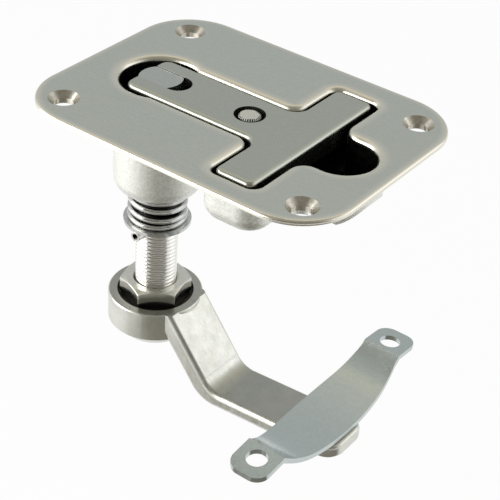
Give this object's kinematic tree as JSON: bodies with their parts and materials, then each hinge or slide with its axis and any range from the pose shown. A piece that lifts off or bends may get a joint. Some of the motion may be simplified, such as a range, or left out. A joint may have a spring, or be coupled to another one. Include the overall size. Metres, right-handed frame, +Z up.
{
  "type": "flush floor hatch catch",
  "caption": "Flush floor hatch catch: recessed plate with lift-up T-handle, sprung threaded spindle, cranked catch arm and a bowed keeper strap.",
  "frame": {"origin": "centre of the plate's screw pattern, on the plate's underside", "axes": "+Z up out of the floor, +X along the plate from the spindle towards the finger recess, +Y across the plate"},
  "size_m": [0.0956, 0.0772, 0.0931],
  "materials": {
    "polished": "polished",
    "cast": "satin cast",
    "machined": "machined",
    "spring": "bright",
    "strap": "brushed"
  },
  "bodies": {
    "plate": {"face_plate": "polished", "locating_stud": "machined", "keeper_strap": "strap"},
    "spindle": {"spindle": "machined", "return_spring": "spring", "spring_washer": "machined", "roll_pin": "machined"},
    "handle": {"handle": "polished", "pivot_pin": "machined"},
    "arm": {"catch_arm": "cast", "lock_nut": "machined"}
  },
  "joints": [
    {"name": "handle_lift", "type": "hinge", "parent": "spindle", "child": "handle", "pos_m": [-0.0266, 0, -0.0012], "axis": [0, -1, 0], "range_deg": [0, 90]},
    {"name": "spindle_drop", "type": "slide", "parent": "plate", "child": "spindle", "axis": [0, 0, -1], "range_m": [0, 0.0015], "deforming": ["return_spring"]},
    {"name": "arm_swing", "type": "hinge", "parent": "spindle", "child": "arm", "pos_m": [-0.0266, 0, -0.0729], "axis": [0, 0, 1], "range_deg": [-90, 90]}
  ],
  "couplings": [
    {"joint": "spindle_drop", "follows": "handle_lift", "m_per_rad": 0.00095493}
  ]
}
